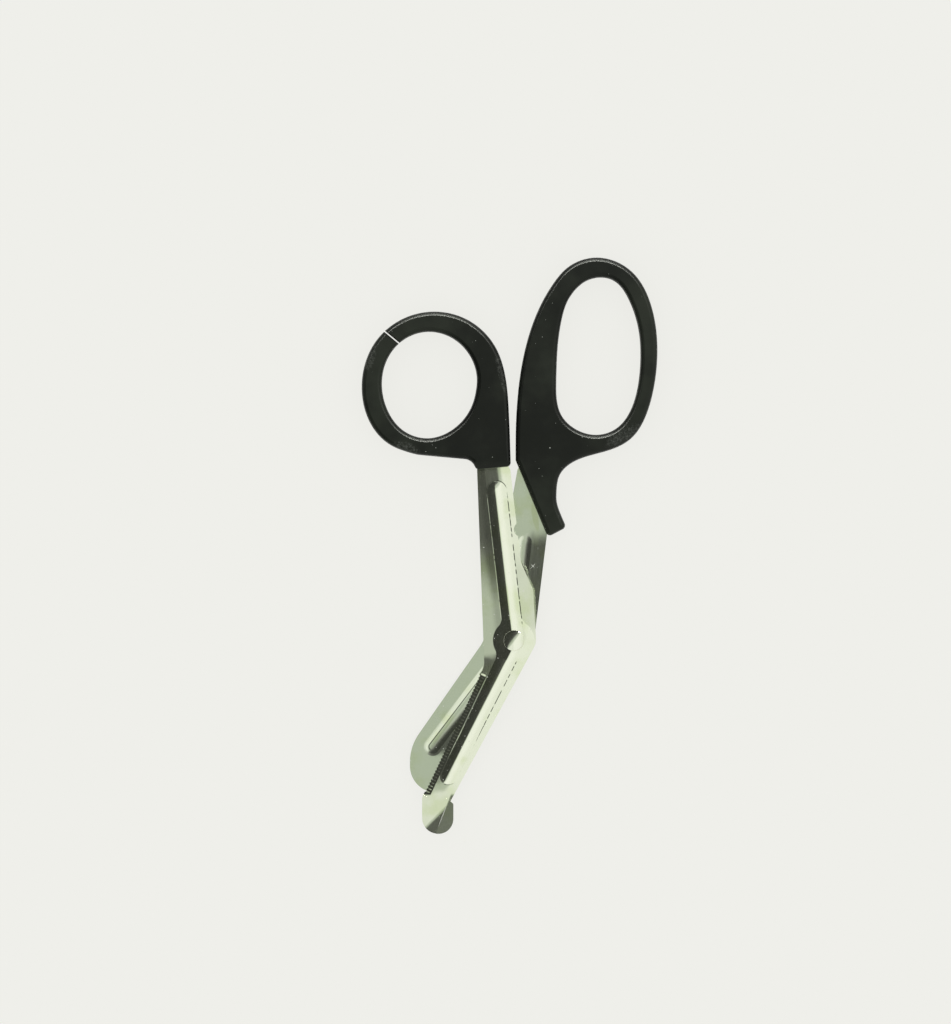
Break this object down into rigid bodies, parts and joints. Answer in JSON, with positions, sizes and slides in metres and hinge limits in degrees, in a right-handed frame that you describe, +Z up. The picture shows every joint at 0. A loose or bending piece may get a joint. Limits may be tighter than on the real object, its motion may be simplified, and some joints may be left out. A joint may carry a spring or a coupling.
{
  "type": "bandage scissors",
  "caption": "Bandage scissors with angled sheet-steel blades, serrated edge, blunt bent foot and moulded plastic finger loops.",
  "frame": {"origin": "on the pivot axis, on the flat tail of the rivet, at the surface that the scissors lie on", "axes": "+Z up through the rivet head, +Y from the pivot to the handles, +X towards the finger loop"},
  "size_m": [0.0978, 0.1906, 0.011],
  "materials": {
    "blade_steel": "polished stainless sheet with a fine satin grain and handling scratches",
    "handle_plastic": "black moulded polypropylene with a soft sheen, dust and light scuffs",
    "rivet_steel": "polished stainless rivet and plain washer"
  },
  "bodies": {
    "front_half": {"front_blade": "blade_steel", "thumb_handle": "handle_plastic", "pivot_rivet": "rivet_steel", "rivet_washer": "rivet_steel"},
    "back_half": {"back_blade": "blade_steel", "finger_handle": "handle_plastic"}
  },
  "joints": [
    {"name": "blade_pivot", "type": "hinge", "parent": "front_half", "child": "back_half", "pos_m": [0, 0, 0.0043], "axis": [0, 0, -1], "range_deg": [-1.3, 110]}
  ]
}
